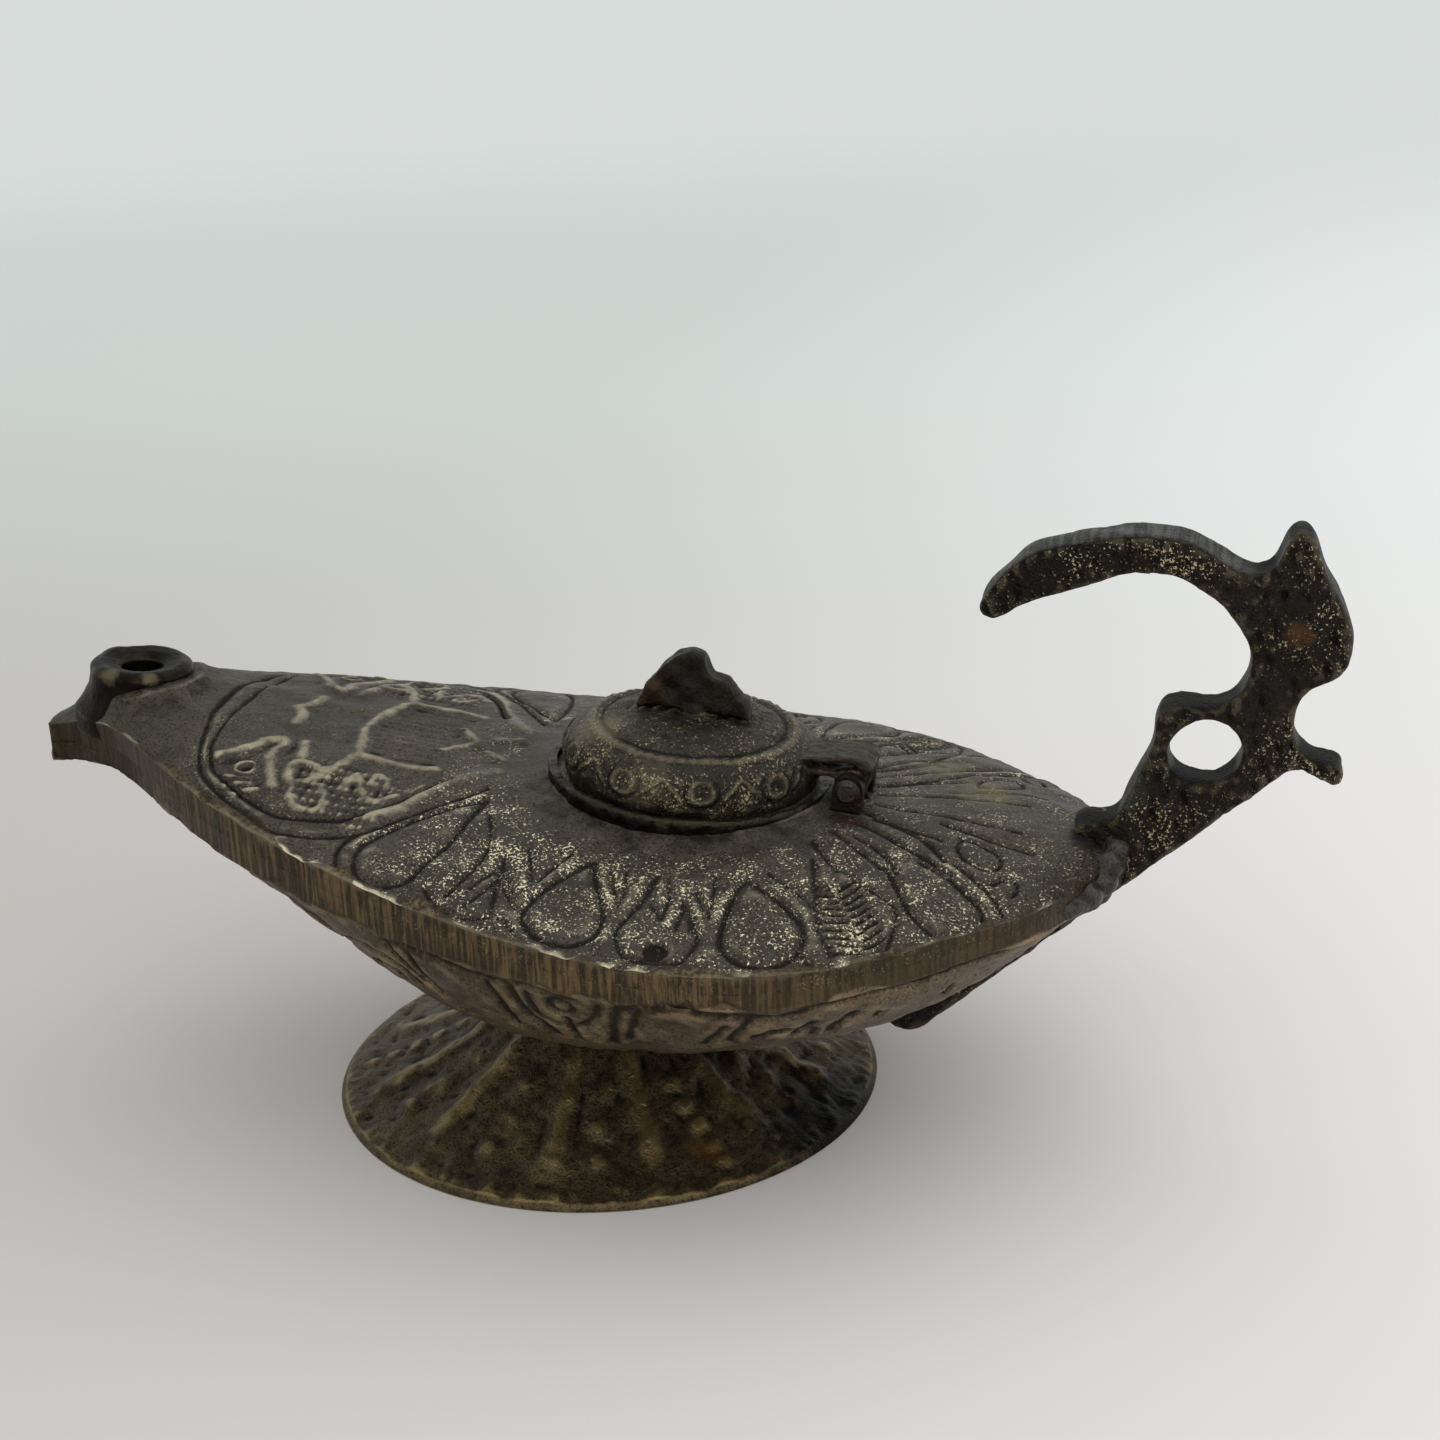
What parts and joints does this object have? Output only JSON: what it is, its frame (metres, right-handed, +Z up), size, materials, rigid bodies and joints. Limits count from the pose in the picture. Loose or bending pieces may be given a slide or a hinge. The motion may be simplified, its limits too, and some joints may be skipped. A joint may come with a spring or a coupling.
{
  "type": "genie oil lamp",
  "caption": "Cast brass genie oil lamp: boat-shaped oil vessel on a low round foot, raised wick nozzle at the bow, hinged lid with a fin over the filler mouth, and a hook handle at the stern.",
  "frame": {"origin": "centre of the foot's flat underside", "axes": "+Z up, +X along the lamp's length towards the handle, -X towards the wick nozzle; the lid's hinge pin lies along Y"},
  "size_m": [0.149, 0.0754, 0.0694],
  "materials": {
    "foot": "dark aged patina over cast brass",
    "washer": "dull steel",
    "screw": "dull steel",
    "bowl": "aged cast brass with a filed rim",
    "deck": "dark aged patina over cast brass",
    "ears": "aged brass",
    "pin": "rusty iron",
    "lid": "dark aged patina over cast brass",
    "finial": "dark aged brass",
    "handle": "dark pitted cast brass"
  },
  "bodies": {
    "lamp": {"foot": "foot", "foot_washer": "washer", "foot_screw": "screw", "bowl": "bowl", "deck": "deck", "hinge_ear_near": "ears", "hinge_ear_far": "ears", "hinge_pin": "pin", "handle": "handle"},
    "lid": {"lid": "lid", "finial": "finial"}
  },
  "joints": [
    {"name": "lid_hinge", "type": "hinge", "parent": "lamp", "child": "lid", "pos_m": [0.03018, 0, 0.0392], "axis": [0, 1, 0], "range_deg": [0, 85]}
  ]
}
